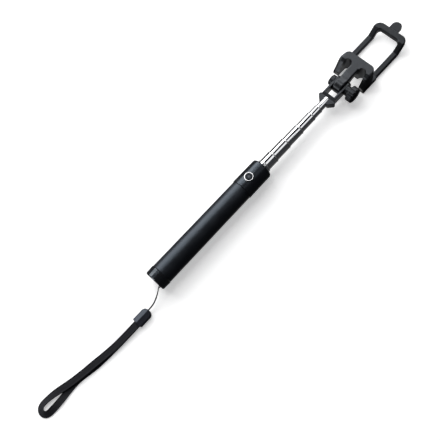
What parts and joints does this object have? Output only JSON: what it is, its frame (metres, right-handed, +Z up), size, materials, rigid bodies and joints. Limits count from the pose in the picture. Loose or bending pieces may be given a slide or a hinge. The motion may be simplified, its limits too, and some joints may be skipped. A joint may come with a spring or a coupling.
{
  "type": "selfie stick",
  "caption": "Telescopic selfie stick with a shutter button, chrome tubes, a tilting phone clamp with a pull-out frame, and a wrist strap.",
  "frame": {"origin": "centre of the base of the stick without its wrist strap, on the surface that it lies on", "axes": "+X along the stick from the end cap to the pull tab of the clamp, +Z up through the shutter button, +Y towards the hinge nut"},
  "size_m": [0.6363, 0.048, 0.0288],
  "materials": {
    "gloss_black": "glossy black",
    "satin_black": "satin black",
    "button_black": "glossy black",
    "knob_black": "satin black",
    "clamp_black": "fine satin black",
    "bead_plastic": "satin black",
    "inner_plastic": "matte dark grey",
    "grip_rubber": "soft matte black",
    "silicone": "translucent grey",
    "pad_rubber": "matte black",
    "frame_rubber": "soft black",
    "chrome": "polished",
    "steel": "plated",
    "brass": "plain",
    "board": "solder mask green",
    "cell_wrap": "foil",
    "string_black": "braided",
    "webbing_black": "woven"
  },
  "bodies": {
    "handle": {"end_cap": "gloss_black", "lanyard_pin": "steel", "grip_sleeve": "grip_rubber", "handle_liner": "inner_plastic", "collar_shell": "satin_black", "nose_ring": "satin_black", "button_bezel": "chrome", "button_dome": "silicone", "circuit_board": "board", "tact_switch": "steel", "battery_cell": "cell_wrap", "charge_port": "steel", "base_tube": "chrome", "base_plug": "inner_plastic", "strap_bead": "bead_plastic", "strap_string": "string_black", "strap_webbing": "webbing_black"},
    "button": {"shutter_button": "button_black"},
    "section_1": {"tube_1": "chrome", "tube_1_tail": "inner_plastic", "tube_1_clip": "brass"},
    "section_2": {"tube_2": "chrome", "tube_2_tail": "inner_plastic", "tube_2_clip": "brass"},
    "section_3": {"tube_3": "chrome", "tube_3_tail": "inner_plastic", "tube_3_clip": "brass"},
    "section_4": {"tube_4": "chrome", "tube_4_tail": "inner_plastic", "tube_4_clip": "brass"},
    "section_5": {"tube_5": "chrome", "tube_5_tail": "inner_plastic", "tube_5_clip": "brass"},
    "section_6": {"tube_6": "chrome", "tube_6_tail": "inner_plastic", "tube_6_clip": "brass", "head_bush": "brass"},
    "fork": {"head_fork": "satin_black", "fork_pin": "steel", "hinge_nut": "satin_black", "hinge_washers": "steel"},
    "knob": {"tilt_knob": "knob_black", "hinge_bolt": "steel"},
    "clamp": {"clamp_body": "clamp_black", "jaw_pad": "pad_rubber", "leg_screws": "steel", "return_springs": "steel"},
    "frame": {"clamp_frame": "frame_rubber", "frame_rods": "steel", "rod_stops": "brass"}
  },
  "joints": [
    {"name": "shutter_press", "type": "slide", "parent": "handle", "child": "button", "axis": [0, 0, -1], "range_m": [0, 0.0005], "stiffness_N_per_m": 1500, "springref_m": -0.0008, "deforming": ["button_dome"]},
    {"name": "extend_1", "type": "slide", "parent": "handle", "child": "section_1", "axis": [1, 0, 0], "range_m": [-0.0119, 0.1166]},
    {"name": "extend_2", "type": "slide", "parent": "section_1", "child": "section_2", "axis": [1, 0, 0], "range_m": [-0.0193, 0.1062]},
    {"name": "extend_3", "type": "slide", "parent": "section_2", "child": "section_3", "axis": [1, 0, 0], "range_m": [-0.0201, 0.1024]},
    {"name": "extend_4", "type": "slide", "parent": "section_3", "child": "section_4", "axis": [1, 0, 0], "range_m": [-0.0191, 0.1004]},
    {"name": "extend_5", "type": "slide", "parent": "section_4", "child": "section_5", "axis": [1, 0, 0], "range_m": [-0.0095, 0.107]},
    {"name": "extend_6", "type": "slide", "parent": "section_5", "child": "section_6", "axis": [1, 0, 0], "range_m": [-0.008, 0.1009]},
    {"name": "head_swivel", "type": "hinge", "parent": "section_6", "child": "fork", "pos_m": [0.0825, 0, 0.0142], "axis": [1, 0, 0], "continuous": true},
    {"name": "clamp_tilt", "type": "hinge", "parent": "fork", "child": "clamp", "pos_m": [0.1064, 0, 0.0142], "axis": [0, -1, 0], "range_deg": [-90, 110]},
    {"name": "knob_turn", "type": "hinge", "parent": "fork", "child": "knob", "pos_m": [0.1064, -0.0178, 0.0142], "axis": [0, -1, 0], "continuous": true},
    {"name": "jaw_pull", "type": "slide", "parent": "clamp", "child": "frame", "axis": [1, 0, 0], "range_m": [0, 0.0165], "stiffness_N_per_m": 150, "springref_m": -0.03, "deforming": ["return_springs"]}
  ]
}
